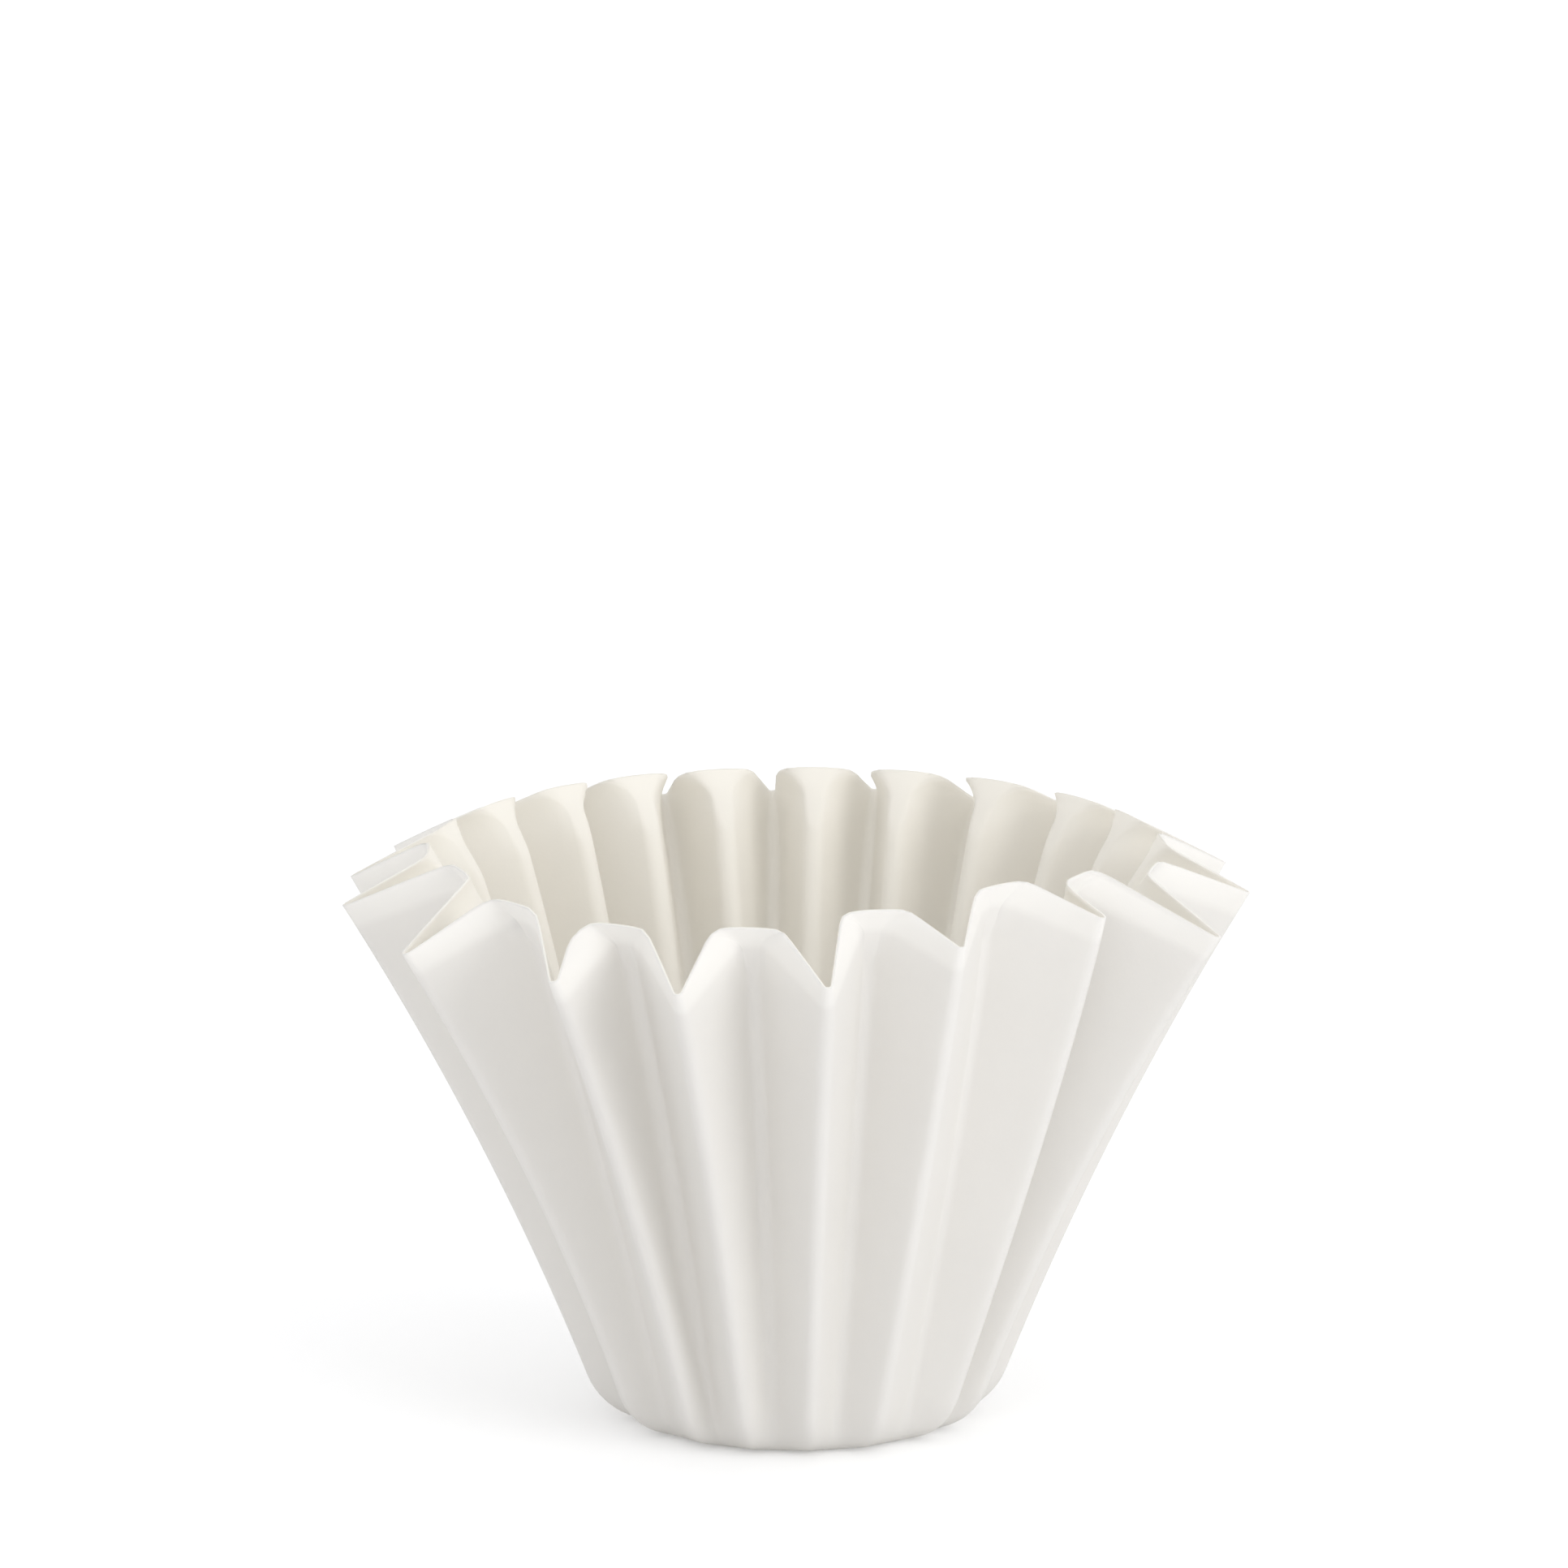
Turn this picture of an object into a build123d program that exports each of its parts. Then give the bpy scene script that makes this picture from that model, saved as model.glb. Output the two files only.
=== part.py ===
from build123d import *
import math
import os

# Fluted paper coffee filter: one round sheet of paper pressed into a flat-bottomed cup.
# The wall is folded into flutes that start in the rounded edge of the base and open
# towards the rim. Millimetres, +Z up, origin at the centre of the underside.

# The sheet
SHEET_DIAMETER = 185.0
PAPER = 0.3
FLUTES = 20

# The base: where the outer folds would meet the table without the rounded edge, and that
# edge, which is pressed in short cones that each touch the rounding
BASE_DIAMETER = 44.8
BASE_ROUNDING = 8.8
ROUNDING_CONES = 5

# The outer folds (crests): how far they lean from upright, half the angle between the two
# flanks of one crest, and the radius of the fold at the paper's middle
CREST_LEAN = 25.9
FLANK_ANGLE = 21.0
CREST_FOLD = 1.1

# The inner folds (valleys): their radius at the paper's middle
VALLEY_FOLD = 2.5

# The wall is drawn past the base and the rim by this much, where it is trimmed
RUN_OUT = 2.0

HALF_PAPER = PAPER / 2
HALF_PITCH = 180 / FLUTES
FOOT_RADIUS = BASE_DIAMETER / 2

lean = math.radians(CREST_LEAN)
flank = math.radians(FLANK_ANGLE)
pitch = math.radians(HALF_PITCH)

# Two neighbouring crests share the groove between them. Their flanks would meet in a sharp
# line that leans less than the crests do, with this half angle between the flanks.
sharp_crest_foot = FOOT_RADIUS + CREST_FOLD * (1 / math.sin(flank) - 1) / math.cos(lean)
narrowing = math.sin(flank) / (
    math.sin(flank) * math.cos(lean) * math.cos(pitch) + math.cos(flank) * math.sin(pitch)
)
valley_lean = math.atan(narrowing * math.sin(lean))
valley_flank = math.acos(
    math.cos(flank) * math.cos(pitch) - math.sin(flank) * math.cos(lean) * math.sin(pitch)
)
sharp_valley_foot = sharp_crest_foot * math.cos(lean) * narrowing


def moved_out(distance, half_angle, fold_lean):
    """How far the sharp line of a fold moves out when both flanks move by a distance."""
    return distance / math.sin(half_angle) / math.cos(fold_lean)


class Fold:
    """The line of one fold at the paper's middle, from the plane of the table to the rim.

    It is as long as the paper that the base leaves over, with what the rounded edge saves.
    """

    def __init__(self, foot_radius, fold_lean):
        turn = math.pi / 2 - fold_lean
        saved_in_rounding = BASE_ROUNDING * (2 * math.tan(turn / 2) - turn)
        length = SHEET_DIAMETER / 2 - foot_radius + saved_in_rounding
        self.rim_radius = foot_radius + length * math.sin(fold_lean)
        self.rim_height = length * math.cos(fold_lean)


rounded_by = VALLEY_FOLD * (1 / math.sin(valley_flank) - 1) / math.cos(valley_lean)
crest = Fold(FOOT_RADIUS, lean)
valley = Fold(sharp_valley_foot + rounded_by, valley_lean)

# The flanks are drawn this far in from a crest, past the bottom of the deepest groove
flank_run = crest.rim_radius - valley.rim_radius + 5 * RUN_OUT


def square_to_fold(foot_radius, fold_lean, below):
    """Plane square to a fold on the +X side, below the table by a distance along the fold."""
    along = (math.sin(fold_lean), 0, math.cos(fold_lean))
    across = (math.cos(fold_lean), 0, -math.sin(fold_lean))
    return Plane(origin=(foot_radius, 0, 0), x_dir=across, z_dir=along).offset(-below)


def crest_wedge(skin, top):
    """A rounded crest with both flanks, skin outside the paper's middle, up to a top height."""
    below = RUN_OUT / math.cos(lean) + flank_run * math.sin(lean)
    above = top / math.cos(lean) + flank_run * math.sin(lean)
    with BuildPart() as wedge:
        with BuildSketch(square_to_fold(FOOT_RADIUS, lean, below)):
            with BuildLine():
                fold = CenterArc((-CREST_FOLD, 0), CREST_FOLD + skin,
                                 FLANK_ANGLE - 90, 180 - 2 * FLANK_ANGLE)
                side = Line(fold @ 1, fold @ 1 + (fold % 1) * flank_run)
                other_side = mirror(side, about=Plane.XZ)
                Line(side @ 1, other_side @ 1)
            make_face()
        extrude(amount=below + above)
    return wedge.part


def bowl_outline(skin, top):
    """Half section of the bowl that the base is pressed in: floor, rounded edge and side."""
    rounding = BASE_ROUNDING + skin
    centre_height = HALF_PAPER + BASE_ROUNDING
    flat_radius = FOOT_RADIUS + centre_height * math.tan(lean) - BASE_ROUNDING / math.cos(lean)
    step = (math.pi / 2 - lean) / (ROUNDING_CONES + 0.5)
    corner = rounding / math.cos(step / 2)

    outline = [Vector(0, HALF_PAPER - skin)]
    for number in range(ROUNDING_CONES):
        turned = (number + 0.5) * step
        outline.append(Vector(flat_radius + corner * math.sin(turned),
                              centre_height - corner * math.cos(turned)))
    side = math.tan(ROUNDING_CONES * step)
    outline.append(Vector(outline[-1].X + (top + RUN_OUT) / side, outline[-1].Y + top + RUN_OUT))
    outline.append(Vector(0, outline[-1].Y))
    return outline


def pressed_flute(skin, top):
    """One solid flute inside the face that lies skin outside the paper's middle.

    It is a groove with half a crest on each side. A core fills it up to the axis, and the
    bowl takes off what reaches past the base.
    """
    fold_radius = VALLEY_FOLD - skin
    sharp_foot = sharp_valley_foot + moved_out(skin, valley_flank, valley_lean)
    below = 2 * RUN_OUT
    above = top / math.cos(valley_lean) + 2 * RUN_OUT
    core_radius = sharp_valley_foot - RUN_OUT
    core_widening = math.tan(valley_lean)
    half_width = 2 * SHEET_DIAMETER * math.tan(pitch)
    opening = math.degrees(valley_flank)
    wedge = crest_wedge(skin, top)

    with BuildPart() as flute:
        with BuildSketch(Plane.XZ):
            Polygon(
                (0, -RUN_OUT),
                (core_radius - RUN_OUT * core_widening, -RUN_OUT),
                (core_radius + top * core_widening, top),
                (0, top),
                align=None,
            )
        revolve(axis=Axis.Z)
        with Locations(Rotation(0, 0, HALF_PITCH), Rotation(0, 0, -HALF_PITCH)):
            add(wedge)

        # The rounding of the valley fills the corner between the flanks
        with BuildSketch(square_to_fold(sharp_foot, valley_lean, below)):
            with BuildLine():
                fold = CenterArc((fold_radius / math.sin(valley_flank), 0), fold_radius,
                                 90 + opening, 180 - 2 * opening)
                Polyline(fold @ 1, (-RUN_OUT, 0), fold @ 0)
            make_face()
        extrude(amount=below + above)

        # Cut to one flute, then pressed in the bowl
        with BuildSketch(Plane.XY.offset(-RUN_OUT)):
            Polygon((0, 0), (2 * SHEET_DIAMETER, -half_width), (2 * SHEET_DIAMETER, half_width),
                    align=None)
        extrude(amount=top + RUN_OUT, mode=Mode.INTERSECT)
        with BuildSketch(Plane.XZ):
            with BuildLine():
                Polyline(*bowl_outline(skin, top), close=True)
            make_face()
        revolve(axis=Axis.Z, mode=Mode.INTERSECT)
    return flute.part


# The rim is cut by a ball that passes through the ends of both folds, so that each fold
# has the length that the sheet gives it
rim_ball_height = (crest.rim_radius**2 + crest.rim_height**2 - valley.rim_radius**2
                   - valley.rim_height**2) / (2 * (crest.rim_height - valley.rim_height))
rim_ball_radius = math.hypot(crest.rim_radius, crest.rim_height - rim_ball_height)
outer_top = valley.rim_height + RUN_OUT
inner_top = outer_top + RUN_OUT

with BuildPart() as paper_flute:
    add(pressed_flute(HALF_PAPER, outer_top))
    with Locations((0, 0, rim_ball_height)):
        Sphere(rim_ball_radius, mode=Mode.INTERSECT)
    add(pressed_flute(-HALF_PAPER, inner_top), mode=Mode.SUBTRACT)

# The flutes all round are one sheet, with a crest on each axis
with BuildPart() as fluted_filter:
    with PolarLocations(0, FLUTES, start_angle=HALF_PITCH):
        add(paper_flute.part)
fluted_filter.part.label = "fluted_filter"

os.makedirs("parts", exist_ok=True)
export_step(fluted_filter.part, "parts/fluted_filter.step")
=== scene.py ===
"""Looks of a fluted paper coffee filter: the sheet's own surface, its paper and a studio.

The sheet is worked out as one surface of two parameters, the way round the flutes and the
length of paper from the centre of the base, and is then given its thickness.
"""

from __future__ import annotations

import logging
import math
from dataclasses import dataclass, field
from enum import Enum

import bpy
import numpy as np
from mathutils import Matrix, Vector

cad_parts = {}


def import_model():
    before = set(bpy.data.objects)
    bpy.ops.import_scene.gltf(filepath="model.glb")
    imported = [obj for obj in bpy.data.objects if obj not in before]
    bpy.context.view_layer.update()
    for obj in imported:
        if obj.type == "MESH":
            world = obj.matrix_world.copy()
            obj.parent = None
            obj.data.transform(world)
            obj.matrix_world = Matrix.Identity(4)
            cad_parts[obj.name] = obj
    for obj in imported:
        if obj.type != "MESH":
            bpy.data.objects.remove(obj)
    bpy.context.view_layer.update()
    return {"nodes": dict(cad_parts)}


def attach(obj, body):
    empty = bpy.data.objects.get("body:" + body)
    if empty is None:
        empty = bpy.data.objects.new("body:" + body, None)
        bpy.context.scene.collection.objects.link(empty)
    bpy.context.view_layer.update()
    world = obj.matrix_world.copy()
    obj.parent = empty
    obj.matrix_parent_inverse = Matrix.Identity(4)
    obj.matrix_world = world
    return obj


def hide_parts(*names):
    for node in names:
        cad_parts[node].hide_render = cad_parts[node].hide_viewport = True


LOG = logging.getLogger("filter")
MM = 0.001
FRAME_PIXELS = 1932
FLUTES = 20


class Hand(Enum):
    """On which side of its crest a valley lies, seen from above."""

    ANTICLOCKWISE = 1
    CLOCKWISE = -1


class SheetMap(Enum):
    """What the sheet's points tell its material."""

    FROM_RIM = "from_rim"
    INSIDE = "inside"


@dataclass(frozen=True)
class FoldLine:
    """Course of one kind of fold from the centre of the sheet to the rim, in millimetres.

    Attributes:
        flat: Radius at which it leaves the flat base.
        rounding: Radius of its rounded edge at the base.
        lean_foot: Lean from upright where the wall starts, in degrees.
        lean_rim: Lean from upright at the rim, in degrees.
        radius_foot: Radius of the fold itself where it leaves the base.
        radius_wall: Radius of the fold itself high up the wall.
        radius_rim: Radius of the fold itself at the rim, where the paper is free.
        free: Length of paper below the rim over which the fold opens or closes.
    """

    flat: float
    rounding: float
    lean_foot: float
    lean_rim: float
    radius_foot: float
    radius_wall: float
    radius_rim: float
    free: float

    def wall_start(self) -> float:
        """Length of paper from the centre to where the wall starts."""
        return self.flat + self.rounding * math.radians(90 - self.lean_foot)

    def course(
        self, lengths: np.ndarray, sheet_radius: float, reach: np.ndarray
    ) -> tuple[np.ndarray, np.ndarray]:
        """Walks along the paper and adds up its steps outwards and upwards.

        The paper climbs at no angle on the base, then ever more steeply round the edge, and
        from there it eases back towards the rim's lean. A fold that reaches further than the
        others bends outwards all along its wall.

        Args:
            lengths: Lengths of paper from the centre, one for each row.
            sheet_radius: Radius of the flat sheet.
            reach: How much further out each fold of this kind ends, one for each flute.

        Returns:
            Distances from the axis and heights, rows by flutes.
        """
        start = self.wall_start()
        middles = (lengths[1:] + lengths[:-1]) / 2
        steps = np.diff(lengths)[:, None]
        turn = math.radians(90 - self.lean_foot)
        climb = turn * np.clip((middles - self.flat) / (start - self.flat), 0, 1)
        up_wall = np.clip((middles - start) / (sheet_radius - start), 0, 1)
        climb = climb - math.radians(self.lean_rim - self.lean_foot) * up_wall
        arm = (sheet_radius - start) / 2 * math.cos(math.radians(self.lean_foot))
        climb = climb[:, None] - up_wall[:, None] * reach[None, :] / arm
        zero = np.zeros((1, len(reach)))
        outwards = np.concatenate([zero, np.cumsum(np.cos(climb) * steps, axis=0)])
        upwards = np.concatenate([zero, np.cumsum(np.sin(climb) * steps, axis=0)])
        return outwards + lengths[0], upwards

    def radii(self, lengths: np.ndarray, sheet_radius: float) -> np.ndarray:
        """Radius of the fold along the paper.

        It grows evenly up the wall, and changes to the rim's radius with the square of the
        distance into the free paper.

        Args:
            lengths: Lengths of paper from the centre.
            sheet_radius: Radius of the flat sheet.

        Returns:
            One radius for each length.
        """
        share = np.clip((lengths - self.flat) / (sheet_radius - self.flat), 0, 1)
        wall = self.radius_foot + (self.radius_wall - self.radius_foot) * share
        opened = np.clip(1 - (sheet_radius - lengths) / self.free, 0, 1) ** 2
        return wall + (self.radius_rim - wall) * opened


def smooth_step(share: np.ndarray) -> np.ndarray:
    """Eases a share from 0 to 1 with level ends: 3 s squared less 2 s cubed."""
    share = np.clip(share, 0, 1)
    return share * share * (3 - 2 * share)


@dataclass
class Unevenness:
    """How the hand-pressed flutes differ from even ones.

    The folds are numbered from the one nearest -Y, anticlockwise from above. Those on the
    front are spread, pushed in a little on one side, and set as they lie there. The others
    are gathered round the back and differ by a seeded draw.

    Attributes:
        flutes: Number of flutes.
        front: For the flutes on the front, by number: the turn of the crest in degrees, its
            reach in millimetres, and the same for the valley that follows it.
        gathered: Turn at the sides of the folds that are gathered to the back, in degrees.
        at_foot: Share of a fold's turn that it has at the base already.
        turn: Usual turn of the other folds at the rim, in degrees.
        reach: Usual reach of the other folds at the rim, in millimetres.
        sway: Usual sideways sway half way up the wall, in degrees.
        seed: Seed of the draw.
    """

    flutes: int = FLUTES
    front: dict[int, tuple[float, float, float, float]] = field(
        default_factory=lambda: {
            -5: (-12.0, 0.0, -13.5, -0.5),
            -4: (-15.0, 0.5, -12.0, -2.5),
            -3: (-7.2, 1.2, -8.5, -0.8),
            -2: (0.1, 0.2, -5.2, -0.4),
            -1: (-0.9, 0.2, -2.2, -1.8),
            0: (0.1, -1.5, 1.0, -5.5),
            1: (2.9, -7.5, 10.5, -8.0),
            2: (12.5, -8.0, 10.5, -5.5),
            3: (8.4, 1.0, 10.0, -0.8),
            4: (14.0, 0.5, 13.0, 0.0),
            5: (12.0, 0.0, 12.5, 0.0),
        }
    )
    gathered: float = 12.0
    at_foot: float = 0.7
    turn: float = 0.7
    reach: float = 0.4
    sway: float = 0.4
    seed: int = 20

    def draw(self) -> tuple[np.ndarray, np.ndarray, np.ndarray]:
        """Draws every fold's turn, reach and sway.

        Returns:
            Three arrays of flutes by two, for the crests and the valleys: the turn in
            radians, the reach in millimetres and the sway in radians.
        """
        chance = np.random.default_rng(self.seed)
        angle = 2 * math.pi * (np.arange(self.flutes)[:, None] + [0, 0.5]) / self.flutes
        turn = self.gathered * np.sin(angle) + chance.normal(0, self.turn, (self.flutes, 2))
        reach = chance.normal(0, self.reach, (self.flutes, 2))
        sway = chance.normal(0, self.sway, (self.flutes, 2))
        for number, (crest_turn, crest_reach, valley_turn, valley_reach) in self.front.items():
            turn[number] = crest_turn, valley_turn
            reach[number] = crest_reach, valley_reach
            sway[number] = 0
        return np.radians(turn), reach, np.radians(sway)


@dataclass
class FlutedSheet:
    """The round sheet of paper, folded into a cup. Sizes are in millimetres.

    Attributes:
        sheet_radius: Radius of the flat sheet.
        paper: Thickness of the paper.
        flutes: Number of flutes.
        crest: Course of the outer folds.
        valley: Course of the inner folds.
        unevenness: How the flutes differ from even ones.
        fade: Length of paper past the flat base over which soft flutes turn into folds.
        pressed: How far out the bottom of each valley is pressed flat at the rim.
        pressed_length: Length of paper below the rim where that flat facet ends in a point.
        base_rows: Rows of points on the flat base.
        edge_rows: Rows of points round the edge of the base.
        wall_rows: Rows of points up the wall.
        rim_rows: Rows of points on the free paper below the rim.
        crest_points: Points across a crest.
        flank_points: Points across a flank, without its ends.
        valley_points: Points across a valley.
        hub: Radius of the innermost ring of points.
        before_edge: Length of paper by which the edge's rows start before the edge.
        past_edge: Length of paper by which the edge's rows end past the edge.
        rim_strip: Length of paper between the last two rows.
        facet_softness: How softly a valley turns into its flat facet.
        used_room: Share of the room for a valley's arc that it may take up.
        least: Smallest radius and smallest depth of a fold that are reckoned with.
        nearest: Smallest distance inwards from a crest's centre to a valley's tip that is
            reckoned with.
    """

    sheet_radius: float = 92.5
    paper: float = 0.3
    flutes: int = FLUTES
    crest: FoldLine = FoldLine(
        flat=16.96,
        rounding=8.8,
        lean_foot=21.3,
        lean_rim=30.5,
        radius_foot=1.1,
        radius_wall=1.0,
        radius_rim=0.5,
        free=6.0,
    )
    valley: FoldLine = FoldLine(
        flat=17.0,
        rounding=4.0,
        lean_foot=15.1,
        lean_rim=20.7,
        radius_foot=1.6,
        radius_wall=1.3,
        radius_rim=5.0,
        free=4.0,
    )
    unevenness: Unevenness = field(default_factory=Unevenness)
    fade: float = 16.0
    pressed: float = 1.7
    pressed_length: float = 8.0
    base_rows: int = 7
    edge_rows: int = 13
    wall_rows: int = 44
    rim_rows: int = 18
    crest_points: int = 7
    flank_points: int = 5
    valley_points: int = 9
    hub: float = 0.4
    before_edge: float = 1.5
    past_edge: float = 1.0
    rim_strip: float = 0.3
    facet_softness: float = 0.75
    used_room: float = 0.8
    least: float = 0.3
    nearest: float = 0.05

    def lengths(self) -> np.ndarray:
        """Lengths of paper from the centre, closer round the edge and below the rim.

        Returns:
            One length for each row of points.
        """
        flat = self.crest.flat - self.before_edge
        start = self.crest.wall_start() + self.past_edge
        free = self.sheet_radius - self.pressed_length
        inner = np.linspace(self.hub, flat, self.base_rows)
        edge = np.linspace(flat, start, self.edge_rows + 1)[1:]
        wall = np.linspace(start, free, self.wall_rows + 1)[1:]
        rim = np.linspace(free, self.sheet_radius - self.rim_strip, self.rim_rows + 1)[1:]
        return np.concatenate([inner, edge, wall, rim, [self.sheet_radius]])

    def middle(self) -> np.ndarray:
        """Works out the middle surface of the paper.

        Across each row the section is a crest arc, a flank, a valley arc and a flank, again
        and again. A flank lies on the inner common tangent of its two arcs: with unit vector
        t from the crest's centre to the valley's, and unit vector a square to it, its normal
        is t cos g + a sin g, where cos g is the sum of both fold radii over the distance of
        the centres. The height goes from the crest's to the valley's with the distance from
        the axis.

        Returns:
            Points as rows by columns by three.
        """
        lengths = self.lengths()
        turn, reach, sway = self.unevenness.draw()
        up_wall = (lengths - self.valley.flat) / (self.sheet_radius - self.valley.flat)
        at_foot = self.unevenness.at_foot
        growth = at_foot + (1 - at_foot) * smooth_step(up_wall)[:, None]
        swing = np.sin(np.clip(up_wall, 0, 1) * math.pi)[:, None] ** 2

        pitch = 2 * math.pi / self.flutes
        number = np.arange(self.flutes)
        crest_at = -math.pi / 2 + pitch * number + growth * turn[:, 0] + swing * sway[:, 0]
        valley_at = -math.pi / 2 + pitch * (number + 0.5) + growth * turn[:, 1]
        valley_at = valley_at + swing * sway[:, 1]
        crest_out, crest_up = self.crest.course(lengths, self.sheet_radius, reach[:, 0])
        valley_out, valley_up = self.valley.course(lengths, self.sheet_radius, reach[:, 1])
        crest_fold = self.crest.radii(lengths, self.sheet_radius)[:, None]
        valley_fold = self.valley.radii(lengths, self.sheet_radius)[:, None]

        crest_centre = polar(crest_out - crest_fold, crest_at)
        valley_fold = np.minimum(
            valley_fold, self.room(crest_centre, crest_fold, valley_out, valley_at)
        )
        valley_centre = polar(valley_out + valley_fold, valley_at)
        both = crest_fold + valley_fold
        after = tangent_normal(crest_centre, valley_centre, both, Hand.ANTICLOCKWISE)
        next_centre = np.roll(crest_centre, -1, axis=1)
        before = tangent_normal(next_centre, valley_centre, both, Hand.CLOCKWISE)
        before_crest = np.roll(before, 1, axis=1)

        crest_arc = crest_centre[..., None, :] + crest_fold[..., None, None] * fan(
            before_crest, after, self.crest_points
        )
        valley_arc = valley_centre[..., None, :] - valley_fold[..., None, None] * fan(
            after, before, self.valley_points
        )
        next_crest = np.roll(crest_arc, -1, axis=1)
        down = between(crest_arc[..., -1, :], valley_arc[..., 0, :], self.flank_points)
        up = between(valley_arc[..., -1, :], next_crest[..., 0, :], self.flank_points)
        folded = np.concatenate([crest_arc, down, valley_arc, up], axis=2)
        wave = self.wave(crest_out, crest_at, valley_out, valley_at)
        sharp = smooth_step((lengths - self.valley.flat) / self.fade)[:, None, None, None]
        plan = wave + (folded - wave) * sharp
        plan = self.flattened(plan, valley_out, valley_at)

        place = np.arange(plan.shape[2])
        first = place <= self.crest_points // 2
        second = place > self.crest_points + self.flank_points + self.valley_points // 2
        radius = np.linalg.norm(plan, axis=-1)
        heights = self.heights(radius, crest_out, valley_out, crest_up, valley_up, first, second)
        rows = len(lengths)
        points = np.concatenate([plan, heights[..., None]], axis=-1).reshape(rows, -1, 3)
        points[..., 2] += self.paper / 2
        return points

    def wave(
        self,
        crest_out: np.ndarray,
        crest_at: np.ndarray,
        valley_out: np.ndarray,
        valley_at: np.ndarray,
    ) -> np.ndarray:
        """Plan of the soft flutes close to the base, a cosine wave between the folds.

        With u from 0 at a crest to 1 at the valley and 2 at the next crest, the angle is
        even in u and the distance from the axis is the crest's plus (1 - cos(pi u)) / 2 of
        the way to the valley's.

        Args:
            crest_out: Distance of each crest from the axis, rows by flutes.
            crest_at: Angle of each crest.
            valley_out: Distance of each valley from the axis.
            valley_at: Angle of each valley.

        Returns:
            Points as rows by flutes by points by two.
        """
        crest_tip = self.crest_points // 2
        valley_tip = self.crest_points + self.flank_points + self.valley_points // 2
        per_flute = self.crest_points + 2 * self.flank_points + self.valley_points
        phase = np.interp(
            np.arange(per_flute), [crest_tip, valley_tip, crest_tip + per_flute], [0, 1, 2]
        )
        steps = np.arange(per_flute) - crest_tip
        phase = np.where(steps < 0, steps / (crest_tip + per_flute - valley_tip), phase)

        whole = 2 * math.pi
        previous = np.roll(valley_at, 1, axis=1)
        previous[:, 0] -= whole
        following = np.roll(crest_at, -1, axis=1)
        following[:, -1] += whole
        ends = np.stack([previous, crest_at, valley_at, following], axis=-1)
        valley_before = np.roll(valley_out, 1, axis=1)
        crest_after = np.roll(crest_out, -1, axis=1)
        outs = np.stack([valley_before, crest_out, valley_out, crest_after], axis=-1)
        piece = np.floor(phase).astype(int) + 1
        share = phase - np.floor(phase)
        angle = ends[..., piece] + (ends[..., piece + 1] - ends[..., piece]) * share
        ease = (1 - np.cos(math.pi * share)) / 2
        out = outs[..., piece] + (outs[..., piece + 1] - outs[..., piece]) * ease
        return polar(out, angle)

    def flattened(
        self, plan: np.ndarray, valley_out: np.ndarray, valley_at: np.ndarray
    ) -> np.ndarray:
        """Presses the bottom of each valley flat near the rim, where a facet opens upwards.

        Along the direction of its valley a point lies at p and the facet at f, which moves
        out evenly towards the rim. The point moves to the soft maximum of both, half of
        p + f + the root of (p - f) squared plus a small square.

        Args:
            plan: Points of the plan, rows by flutes by points by two.
            valley_out: Distance of each valley from the axis.
            valley_at: Angle of each valley.

        Returns:
            The points with flat valley bottoms at the rim.
        """
        lengths = self.lengths()
        risen = np.clip(1 - (self.sheet_radius - lengths) / self.pressed_length, 0, 1)
        facet = (valley_out + self.pressed * risen[:, None])[..., None]
        outwards = polar(np.ones_like(valley_at), valley_at)[..., None, :]
        along = (plan * outwards).sum(axis=-1)
        softness = self.facet_softness * risen[:, None, None]
        moved = (along + facet + np.sqrt((along - facet) ** 2 + softness**2)) / 2
        moved = np.where(softness > 0, moved, along)
        return plan + (moved - along)[..., None] * outwards

    def room(
        self,
        crest_centre: np.ndarray,
        crest_fold: np.ndarray,
        valley_out: np.ndarray,
        valley_at: np.ndarray,
    ) -> np.ndarray:
        """Largest radius of each valley that leaves a flank to both its crests.

        With the valley's tip a distance d inwards of a crest's centre and t aside from it,
        and the crest's radius c, the two arcs touch at (t squared + d squared - c squared)
        over twice (c + d). The valley may use up a share of that.

        Args:
            crest_centre: Centres of the crest arcs.
            crest_fold: Radii of the crest arcs.
            valley_out: Distance of each valley's tip from the axis.
            valley_at: Angle of each valley.

        Returns:
            One radius for each row and flute.
        """
        tip = polar(valley_out, valley_at)
        outwards = polar(np.ones_like(valley_out), valley_at)
        limits = []
        for centre in (crest_centre, np.roll(crest_centre, -1, axis=1)):
            apart = centre - tip
            inwards = np.maximum((apart * outwards).sum(axis=-1), self.nearest)
            square = (apart**2).sum(axis=-1) - crest_fold**2
            limits.append(square / 2 / (crest_fold + inwards))
        return np.maximum(self.used_room * np.minimum(*limits), self.least)

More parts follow.
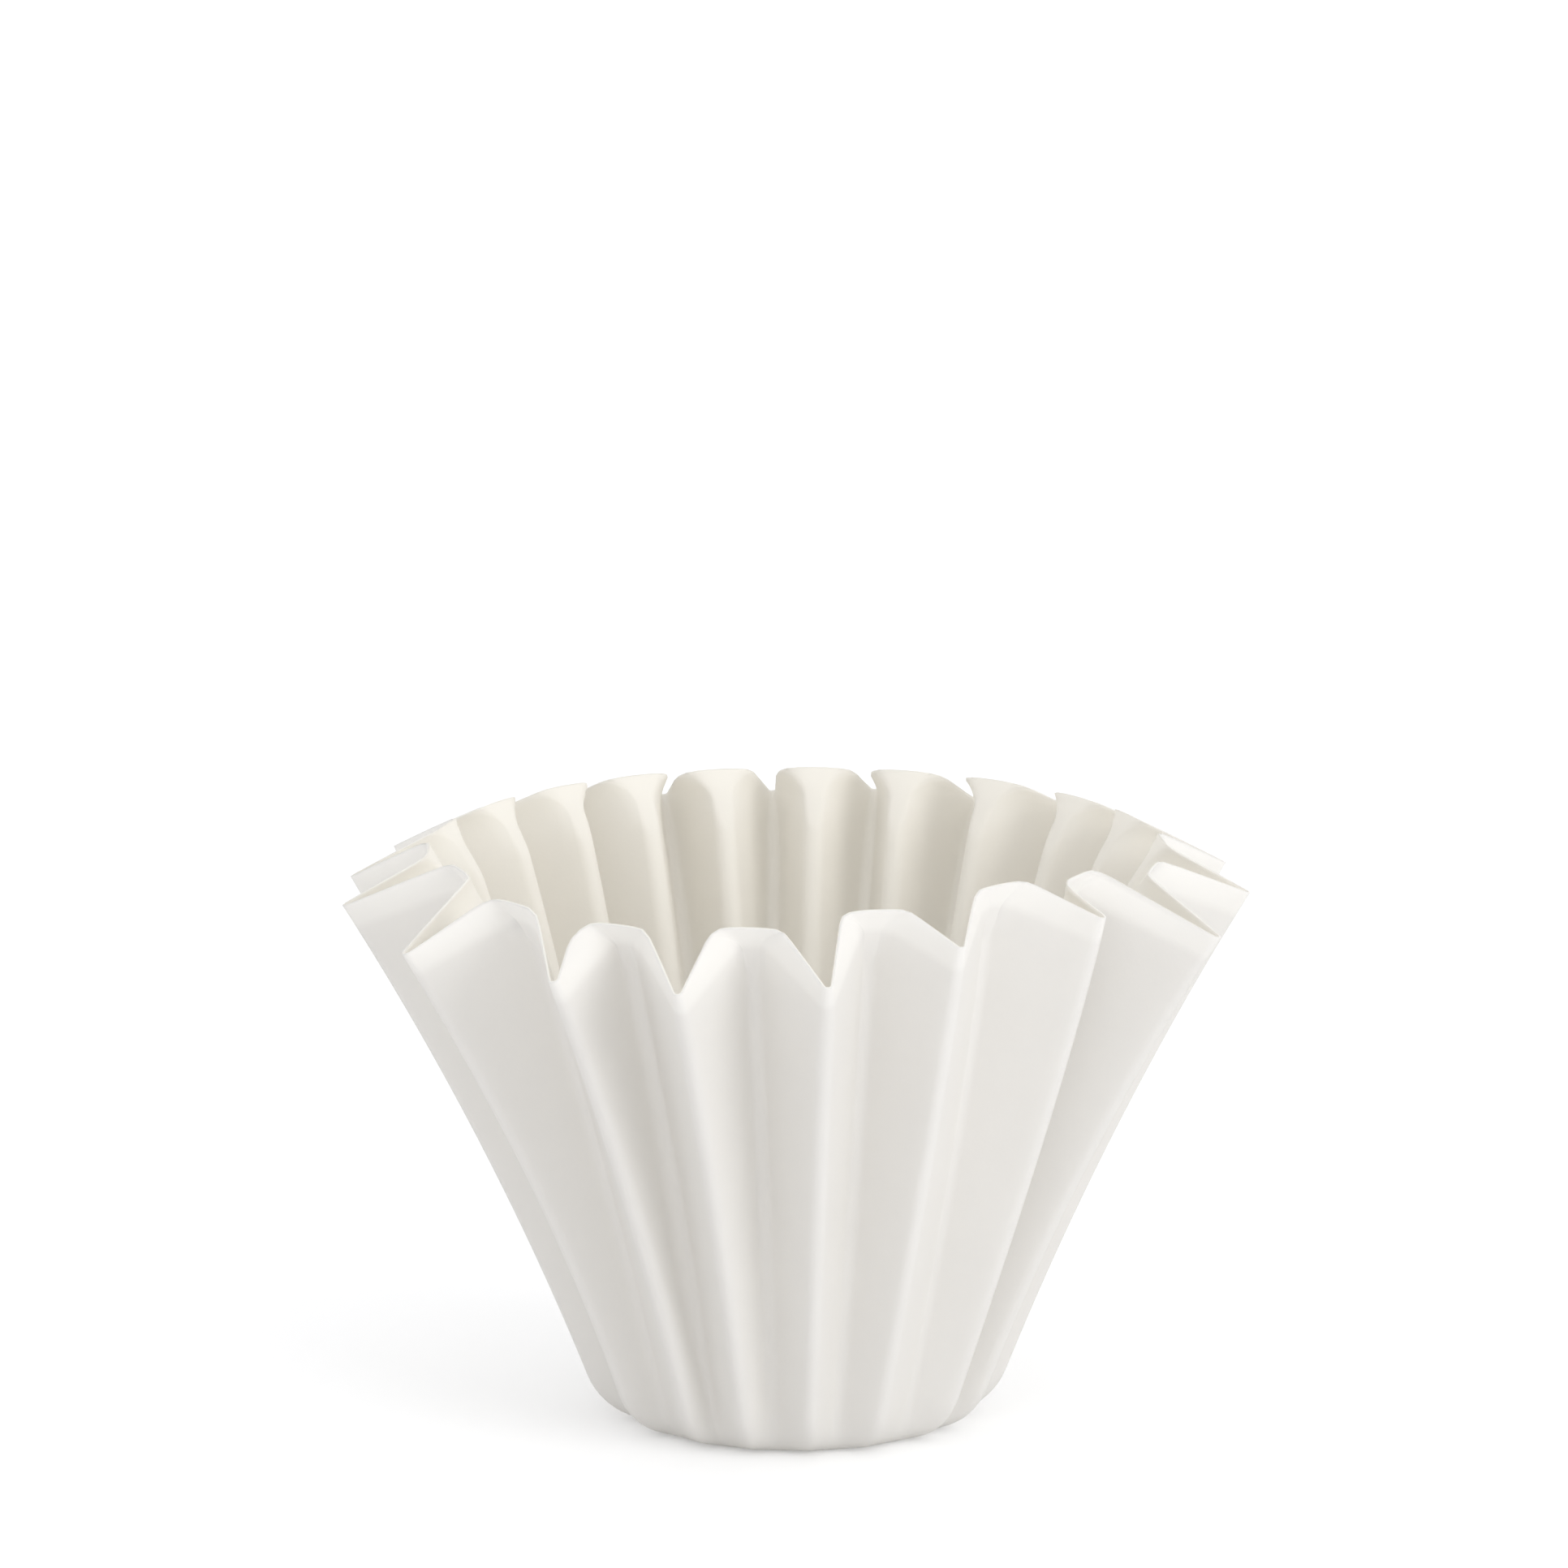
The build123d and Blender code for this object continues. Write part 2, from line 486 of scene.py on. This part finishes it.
    def heights(
        self,
        radius: np.ndarray,
        crest_out: np.ndarray,
        valley_out: np.ndarray,
        crest_up: np.ndarray,
        valley_up: np.ndarray,
        first: np.ndarray,
        second: np.ndarray,
    ) -> np.ndarray:
        """Height of every point, from the heights of the two folds that it lies between.

        It changes evenly with the distance from the axis, from the crest's height at the
        crest's distance to the valley's height at the valley's distance.

        Args:
            radius: Distance of every point from the axis, rows by flutes by points.
            crest_out: Distance of each crest from the axis, rows by flutes.
            valley_out: Distance of each valley from the axis, rows by flutes.
            crest_up: Height of each crest.
            valley_up: Height of each valley.
            first: Which points lie before the crest's tip, towards the valley before it.
            second: Which points lie past the valley's tip, towards the next crest.

        Returns:
            Heights, rows by flutes by points.
        """
        out_from = np.where(second, np.roll(crest_out, -1, axis=1)[..., None], crest_out[..., None])
        up_from = np.where(second, np.roll(crest_up, -1, axis=1)[..., None], crest_up[..., None])
        out_to = np.where(first, np.roll(valley_out, 1, axis=1)[..., None], valley_out[..., None])
        up_to = np.where(first, np.roll(valley_up, 1, axis=1)[..., None], valley_up[..., None])
        depth = np.maximum(out_from - out_to, self.least)
        share = np.clip((out_from - radius) / depth, 0, 1)
        return up_from + (up_to - up_from) * share

    def build(self) -> bpy.types.Object:
        """Gives the middle surface its thickness and makes one closed mesh of it.

        The outer face lies half the paper's thickness along the surface's normal, which is
        the cross product of the steps round the flutes and along the paper, and the inner
        face as far the other way. A strip closes the rim and a fan closes each face at the
        centre.

        Returns:
            The sheet as an object at the origin.
        """
        middle = self.middle()
        round_step = np.roll(middle, -1, axis=1) - np.roll(middle, 1, axis=1)
        length_step = np.gradient(middle, axis=0)
        normal = np.cross(round_step, length_step)
        normal /= np.maximum(np.linalg.norm(normal, axis=-1, keepdims=True), 1e-9)
        rows, columns = middle.shape[:2]

        outer = (middle + normal * self.paper / 2).reshape(-1, 3)
        inner = (middle - normal * self.paper / 2).reshape(-1, 3)
        centres = np.array([[0, 0, 0], [0, 0, self.paper]])
        points = np.concatenate([outer, inner, centres]) * MM
        # Distance from the rim, which the paper uses to paint a lighter strip of light just below the
        # rim.
        from_rim = np.repeat(self.sheet_radius - self.lengths(), columns)
        from_rim = np.concatenate([from_rim, from_rim, [self.sheet_radius] * 2])
        # Flag of the inner face, which the paper uses to paint a warm shade on the inside.
        inside = np.concatenate([np.zeros(rows * columns), np.ones(rows * columns), [0, 1]])

        grid = np.arange(rows * columns).reshape(rows, columns)
        following = np.roll(grid, -1, axis=1)
        skin = np.stack([grid[:-1], following[:-1], following[1:], grid[1:]], axis=-1)
        skin = skin.reshape(-1, 4)
        under = rows * columns
        rim = np.stack(
            [grid[-1], following[-1], following[-1] + under, grid[-1] + under], axis=-1
        )
        quads = np.concatenate([skin, skin[:, ::-1] + under, rim])
        hub = 2 * under
        fan_out = np.stack([np.full(columns, hub), following[0], grid[0]], axis=-1)
        fan_in = np.stack(
            [np.full(columns, hub + 1), grid[0] + under, following[0] + under], axis=-1
        )
        made = mesh_object("fluted_sheet", points, quads, np.concatenate([fan_out, fan_in]))
        for kind, values in ((SheetMap.FROM_RIM, from_rim), (SheetMap.INSIDE, inside)):
            stored = made.data.attributes.new(kind.value, "FLOAT", "POINT")
            stored.data.foreach_set("value", values)
        return made


def polar(out: np.ndarray, at: np.ndarray) -> np.ndarray:
    """Points of the plan at a distance from the axis and an angle."""
    return np.stack([out * np.cos(at), out * np.sin(at)], axis=-1)


def tangent_normal(
    crest_centre: np.ndarray, valley_centre: np.ndarray, radii: np.ndarray, hand: Hand
) -> np.ndarray:
    """Normal of the flank on the inner common tangent of a crest arc and a valley arc.

    Args:
        crest_centre: Centres of the crest arcs.
        valley_centre: Centres of the valley arcs.
        radii: Sum of both fold radii.
        hand: On which side of the crest the valley lies.

    Returns:
        Unit vectors that point out of the cup.
    """
    across = valley_centre - crest_centre
    distance = np.linalg.norm(across, axis=-1)
    toward = across / distance[..., None]
    aside = hand.value * np.stack([toward[..., 1], -toward[..., 0]], axis=-1)
    cosine = np.clip(radii / distance, -1, 1)[..., None]
    return toward * cosine + aside * np.sqrt(1 - cosine**2)


def fan(start: np.ndarray, end: np.ndarray, count: int) -> np.ndarray:
    """Unit vectors that turn evenly from one direction to another, both included.

    Args:
        start: First direction of each fan.
        end: Last direction of each fan.
        count: Number of directions.

    Returns:
        Directions with one more axis, for the count.
    """
    first = np.arctan2(start[..., 1], start[..., 0])
    last = np.arctan2(end[..., 1], end[..., 0])
    turned = (last - first + math.pi) % (2 * math.pi) - math.pi
    angles = first[..., None] + turned[..., None] * np.linspace(0, 1, count)
    return np.stack([np.cos(angles), np.sin(angles)], axis=-1)


def between(start: np.ndarray, end: np.ndarray, count: int) -> np.ndarray:
    """Points evenly spaced between two points, neither included.

    Args:
        start: First point of each line.
        end: Last point of each line.
        count: Number of points.

    Returns:
        Points with one more axis, for the count.
    """
    shares = (np.arange(count) + 1)[:, None] / (count + 1)
    return start[..., None, :] * (1 - shares) + end[..., None, :] * shares


def mesh_object(
    name: str, points: np.ndarray, quads: np.ndarray, triangles: np.ndarray
) -> bpy.types.Object:
    """Puts arrays of points and faces into a smooth mesh.

    Args:
        name: Name of the object.
        points: Points in metres.
        quads: Faces of four corners.
        triangles: Faces of three corners.

    Returns:
        The object, linked to the scene.
    """
    mesh = bpy.data.meshes.new(name)
    corners = np.concatenate([quads.ravel(), triangles.ravel()])
    sizes = np.concatenate([np.full(len(quads), 4), np.full(len(triangles), 3)])
    mesh.vertices.add(len(points))
    mesh.vertices.foreach_set("co", points.ravel())
    mesh.loops.add(len(corners))
    mesh.loops.foreach_set("vertex_index", corners)
    mesh.polygons.add(len(sizes))
    mesh.polygons.foreach_set("loop_start", np.concatenate([[0], np.cumsum(sizes)[:-1]]))
    mesh.polygons.foreach_set("use_smooth", np.ones(len(sizes), dtype=bool))
    mesh.update(calc_edges=True)
    mesh.validate()
    made = bpy.data.objects.new(name, mesh)
    bpy.context.scene.collection.objects.link(made)
    return made


@dataclass(frozen=True)
class FilterPaper:
    """White crepe filter paper that lets light through.

    Attributes:
        colour: Colour of the paper in the light that falls on it.
        glow: Colour of the light that comes through it.
        inside: Colour of the inner face, creamier than the outer face: painted warm shade that stands
            in for light going from paper to paper inside the cup.
        painted_rim_light: Colour of the painted light on the free paper just below the rim, a
            brighter strip that stands in for light coming through the single sheet there.
        painted_rim_light_width: Width of that painted strip of light in millimetres.
        painted_rim_light_blend: Half the width over which the painted strip of light fades, in
            millimetres.
        through: Share of the light that each face lets through.
        thin: How bright the thinner clouds in the paper are beside the thicker ones.
        roughness: How matt the paper is.
        sheen: How strongly it shines.
        clouds: Clouds in the paper per metre.
        crepe: Wrinkles of the crepe per metre.
        fibres: Fibres per metre.
        fibre_share: Height of the fibres beside that of the crepe.
        bump: Strength of the crepe's shading.
        relief: Height of the crepe in metres.
    """

    colour: tuple[float, float, float] = (0.935, 0.926, 0.922)
    glow: tuple[float, float, float] = (0.97, 0.96, 0.93)
    inside: tuple[float, float, float] = (0.955, 0.925, 0.855)
    painted_rim_light: tuple[float, float, float] = (0.995, 0.988, 0.982)
    painted_rim_light_width: float = 3.0
    painted_rim_light_blend: float = 0.5
    through: float = 0.38
    thin: float = 0.965
    roughness: float = 0.85
    sheen: float = 0.2
    clouds: float = 70.0
    crepe: float = 650.0
    fibres: float = 2600.0
    fibre_share: float = 0.35
    bump: float = 0.3
    relief: float = 0.0001

    def material(self) -> bpy.types.Material:
        """Builds the paper's nodes: clouds, a painted strip of light below the rim, a creamy inside
        painted as warm shade, and a crepe bump.

        Returns:
            The material.
        """
        paper = bpy.data.materials.new("filter_paper")
        paper.use_nodes = True
        nodes, links = paper.node_tree.nodes, paper.node_tree.links
        nodes.clear()
        place = nodes.new("ShaderNodeTexCoord")
        clouds = noise(paper, place, self.clouds, detail=3.0)
        crepe = noise(paper, place, self.crepe, detail=3.0)
        fibres = noise(paper, place, self.fibres, detail=2.0)

        thin = tuple(self.thin * part for part in self.colour)
        cloudy = mixed(paper, clouds.outputs["Fac"], thin, self.colour)
        # Painted light: within a few millimetres of the rim the paper turns to the brighter rim
        # colour, which stands in for light coming through the single free sheet there.
        outer_edge = self.painted_rim_light_width - self.painted_rim_light_blend
        inner_edge = self.painted_rim_light_width + self.painted_rim_light_blend
        painted_rim_light_share = share_of(paper, SheetMap.FROM_RIM, inner_edge, outer_edge)
        with_painted_rim_light = mixed(paper, painted_rim_light_share, cloudy, self.painted_rim_light)
        # Painted warm shade: the inner face takes the creamier inside colour, which stands in for
        # light bouncing from paper to paper inside the cup.
        inner = share_of(paper, SheetMap.INSIDE, 0.0, 1.0)
        with_painted_inner_shade = mixed(paper, inner, with_painted_rim_light, self.inside)

        height = nodes.new("ShaderNodeMath")
        height.operation = "MULTIPLY_ADD"
        height.inputs[1].default_value = self.fibre_share
        links.new(fibres.outputs["Fac"], height.inputs[0])
        links.new(crepe.outputs["Fac"], height.inputs[2])
        bump = nodes.new("ShaderNodeBump")
        bump.inputs["Strength"].default_value = self.bump
        bump.inputs["Distance"].default_value = self.relief
        links.new(height.outputs[0], bump.inputs["Height"])

        face = nodes.new("ShaderNodeBsdfPrincipled")
        face.inputs["Roughness"].default_value = self.roughness
        face.inputs["Specular IOR Level"].default_value = self.sheen
        links.new(with_painted_inner_shade, face.inputs["Base Color"])
        links.new(bump.outputs["Normal"], face.inputs["Normal"])
        through = nodes.new("ShaderNodeBsdfTranslucent")
        through.inputs["Color"].default_value = (*self.glow, 1)
        mix = nodes.new("ShaderNodeMixShader")
        mix.inputs[0].default_value = self.through
        links.new(face.outputs[0], mix.inputs[1])
        links.new(through.outputs[0], mix.inputs[2])
        output = nodes.new("ShaderNodeOutputMaterial")
        links.new(mix.outputs[0], output.inputs["Surface"])
        return paper


def share_of(
    material: bpy.types.Material, kind: SheetMap, none: float, full: float
) -> bpy.types.NodeSocket:
    """Reads what the sheet's points tell and turns it into a share from 0 to 1.

    Args:
        material: Material that gets the nodes.
        kind: Which of the sheet's values is read.
        none: Value that gives 0.
        full: Value that gives 1.

    Returns:
        The socket with the share.
    """
    nodes, links = material.node_tree.nodes, material.node_tree.links
    read = nodes.new("ShaderNodeAttribute")
    read.attribute_name = kind.value
    ramp = nodes.new("ShaderNodeMapRange")
    ramp.inputs["From Min"].default_value = none
    ramp.inputs["From Max"].default_value = full
    links.new(read.outputs["Fac"], ramp.inputs["Value"])
    return ramp.outputs["Result"]


def mixed(
    material: bpy.types.Material,
    share: bpy.types.NodeSocket,
    first: tuple[float, float, float] | bpy.types.NodeSocket,
    second: tuple[float, float, float] | bpy.types.NodeSocket,
) -> bpy.types.NodeSocket:
    """Mixes two colours, each of them written out or from another node.

    Args:
        material: Material that gets the node.
        share: Share of the second colour.
        first: Colour at share 0.
        second: Colour at share 1.

    Returns:
        The socket with the mixed colour.
    """
    mix = material.node_tree.nodes.new("ShaderNodeMix")
    mix.data_type = "RGBA"
    links = material.node_tree.links
    links.new(share, mix.inputs["Factor"])
    for name, colour in (("A", first), ("B", second)):
        if isinstance(colour, tuple):
            mix.inputs[name].default_value = (*colour, 1)
        else:
            links.new(colour, mix.inputs[name])
    return mix.outputs["Result"]


def noise(
    material: bpy.types.Material, place: bpy.types.Node, scale: float, detail: float
) -> bpy.types.Node:
    """Adds a noise pattern on Object coordinates.

    Args:
        material: Material that gets the node.
        place: Its Texture Coordinate node.
        scale: Waves per metre, roughly.
        detail: Octaves of finer noise.

    Returns:
        The noise node.
    """
    pattern = material.node_tree.nodes.new("ShaderNodeTexNoise")
    pattern.inputs["Scale"].default_value = scale
    pattern.inputs["Detail"].default_value = detail
    material.node_tree.links.new(place.outputs["Object"], pattern.inputs["Vector"])
    return pattern


@dataclass(frozen=True)
class Lamp:
    """A broad, even light from one direction.

    Attributes:
        name: Name of the lamp.
        azimuth: Angle round the object from -Y, in degrees.
        elevation: Height above the horizon, in degrees.
        strength: Light on a surface that faces it, in watts per square metre.
        spread: Angle that the light fills, in degrees.
        colour: Colour of the light.
    """

    name: str
    azimuth: float
    elevation: float
    strength: float
    spread: float = 35.0
    colour: tuple[float, float, float] = (1.0, 1.0, 0.995)

    def hang(self) -> bpy.types.Object:
        """Puts the lamp into the scene.

        Returns:
            The lamp's object.
        """
        data = bpy.data.lights.new(self.name, "SUN")
        data.energy = self.strength
        data.angle = math.radians(self.spread)
        data.color = self.colour
        made = bpy.data.objects.new(self.name, data)
        bpy.context.scene.collection.objects.link(made)
        made.rotation_mode = "QUATERNION"
        made.rotation_quaternion = direction(self.azimuth, self.elevation).to_track_quat("Z", "Y")
        return made


def direction(azimuth: float, elevation: float) -> Vector:
    """Direction out from the object, by an angle round it from -Y and a height in degrees."""
    turn, rise = math.radians(azimuth), math.radians(elevation)
    return Vector((math.sin(turn) * math.cos(rise), -math.cos(turn) * math.cos(rise), math.sin(rise)))


@dataclass
class Studio:
    """A pale floor, a soft key light, the surrounding light and the camera.

    Attributes:
        camera_azimuth: Camera's angle round the object from -Y, in degrees.
        camera_elevation: Camera's height above the horizon, in degrees.
        camera_distance: Distance from the camera to what it looks at, in metres.
        pixels_per_mm: Size at which the object shows in the full frame.
        axis_pixel: Column of the frame where the cup's axis shows.
        foot_pixel: Row of the frame where the centre of the base shows.
        sensor: Width of the camera's sensor in millimetres.
        floor_half: Half the width of the floor, in metres.
        floor_drop: How far the floor lies below the base, in metres.
        floor_white: Brightness of the floor in the light that falls on it.
        floor_lift: How much whiter the floor looks to the camera alone.
        room_light: Strength of the light from all sides.
        room_colour: Colour of that light.
        lamps: The lamps.
    """

    camera_azimuth: float = -4.0
    camera_elevation: float = 13.0
    camera_distance: float = 1.9
    pixels_per_mm: float = 10.37
    axis_pixel: float = 980.0
    foot_pixel: float = 1745.0
    sensor: float = 36.0
    floor_half: float = 30.0
    floor_drop: float = 0.00005
    floor_white: float = 0.84
    floor_lift: float = 0.26
    room_light: float = 0.94
    room_colour: tuple[float, float, float] = (0.985, 0.988, 1.0)
    lamps: tuple[Lamp, ...] = (
        Lamp("key", azimuth=46.0, elevation=20.0, strength=0.9),
        Lamp("front", azimuth=-20.0, elevation=10.0, strength=0.14),
    )

    def camera(self) -> bpy.types.Object:
        """Aims a long lens so that the cup shows where the frame has it.

        The look-at point lies on the axis, above the base by the rows between the base and
        the middle of the frame over the cosine of the elevation, and is moved sideways by
        the columns between the axis and the middle.

        Returns:
            The camera.
        """
        back = direction(self.camera_azimuth, self.camera_elevation)
        right = Vector((-back.y, back.x, 0)).normalized()
        rise = math.cos(math.radians(self.camera_elevation))
        middle = FRAME_PIXELS / 2
        up = (self.foot_pixel - middle) / self.pixels_per_mm / rise * MM
        aside = (middle - self.axis_pixel) / self.pixels_per_mm * MM
        target = Vector((0, 0, up)) + right * aside
        data = bpy.data.cameras.new("camera")
        data.sensor_width = self.sensor
        seen = FRAME_PIXELS / self.pixels_per_mm * MM
        data.lens = self.camera_distance * self.sensor / seen
        data.clip_start = 0.05
        data.clip_end = 50.0
        made = bpy.data.objects.new("camera", data)
        bpy.context.scene.collection.objects.link(made)
        made.location = target + back * self.camera_distance
        made.rotation_mode = "QUATERNION"
        made.rotation_quaternion = (-back).to_track_quat("-Z", "Y")
        bpy.context.scene.camera = made
        return made

    def floor(self) -> bpy.types.Object:
        """Lays a wide white floor under the cup.

        Returns:
            The floor.
        """
        signs = np.array([[-1, -1], [1, -1], [1, 1], [-1, 1]])
        corners = np.column_stack([signs * self.floor_half, np.full(4, -self.floor_drop)])
        made = mesh_object(
            "floor", corners, np.array([[0, 1, 2, 3]]), np.empty((0, 3), dtype=int)
        )
        white = bpy.data.materials.new("floor_white")
        white.use_nodes = True
        nodes, links = white.node_tree.nodes, white.node_tree.links
        shader = nodes["Principled BSDF"]
        shader.inputs["Base Color"].default_value = (*[self.floor_white] * 3, 1)
        shader.inputs["Roughness"].default_value = 1.0
        shader.inputs["Specular IOR Level"].default_value = 0.0
        shader.inputs["Emission Color"].default_value = (1, 1, 1, 1)
        seen = nodes.new("ShaderNodeMath")
        seen.operation = "MULTIPLY"
        seen.inputs[1].default_value = self.floor_lift
        path = nodes.new("ShaderNodeLightPath")
        links.new(path.outputs["Is Camera Ray"], seen.inputs[0])
        links.new(seen.outputs[0], shader.inputs["Emission Strength"])
        made.data.materials.append(white)
        return made

    def surroundings(self) -> None:
        """Fills the room with even light and shows it white to the camera."""
        world = bpy.data.worlds.new("room")
        bpy.context.scene.world = world
        world.use_nodes = True
        nodes, links = world.node_tree.nodes, world.node_tree.links
        nodes.clear()
        path = nodes.new("ShaderNodeLightPath")
        even = nodes.new("ShaderNodeBackground")
        even.inputs["Strength"].default_value = self.room_light
        even.inputs["Color"].default_value = (*self.room_colour, 1)
        white = nodes.new("ShaderNodeBackground")
        white.inputs["Color"].default_value = (1, 1, 1, 1)
        mix = nodes.new("ShaderNodeMixShader")
        output = nodes.new("ShaderNodeOutputWorld")
        links.new(path.outputs["Is Camera Ray"], mix.inputs[0])
        links.new(even.outputs[0], mix.inputs[1])
        links.new(white.outputs[0], mix.inputs[2])
        links.new(mix.outputs[0], output.inputs["Surface"])

    def build(self) -> None:
        """Sets up the whole studio."""
        self.floor()
        self.surroundings()
        for lamp in self.lamps:
            lamp.hang()
        self.camera()
        bpy.context.scene.view_settings.view_transform = "Standard"


@dataclass
class CoffeeFilter:
    """The whole part: the folded sheet in its paper.

    Attributes:
        sheet: The folded sheet.
        paper: Its finish.
    """

    sheet: FlutedSheet = field(default_factory=FlutedSheet)
    paper: FilterPaper = FilterPaper()

    def build(self) -> bpy.types.Object:
        """Makes the sheet, dresses it and puts it in the place of its solid.

        Returns:
            The sheet as an object.
        """
        made = self.sheet.build()
        made.data.materials.append(self.paper.material())
        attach(made, "root")
        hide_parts("fluted_filter")
        return made


def main() -> None:
    """Loads the frame, then builds the studio and the filter."""
    logging.basicConfig(level=logging.INFO, format="%(name)s: %(message)s")
    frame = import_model()
    LOG.info("frame has nodes %s", ", ".join(frame["nodes"]))
    Studio().build()
    LOG.info("studio is set up")
    filter_piece = CoffeeFilter().build()
    LOG.info("%s has %d faces", filter_piece.name, len(filter_piece.data.polygons))


if __name__ == "__main__":
    main()
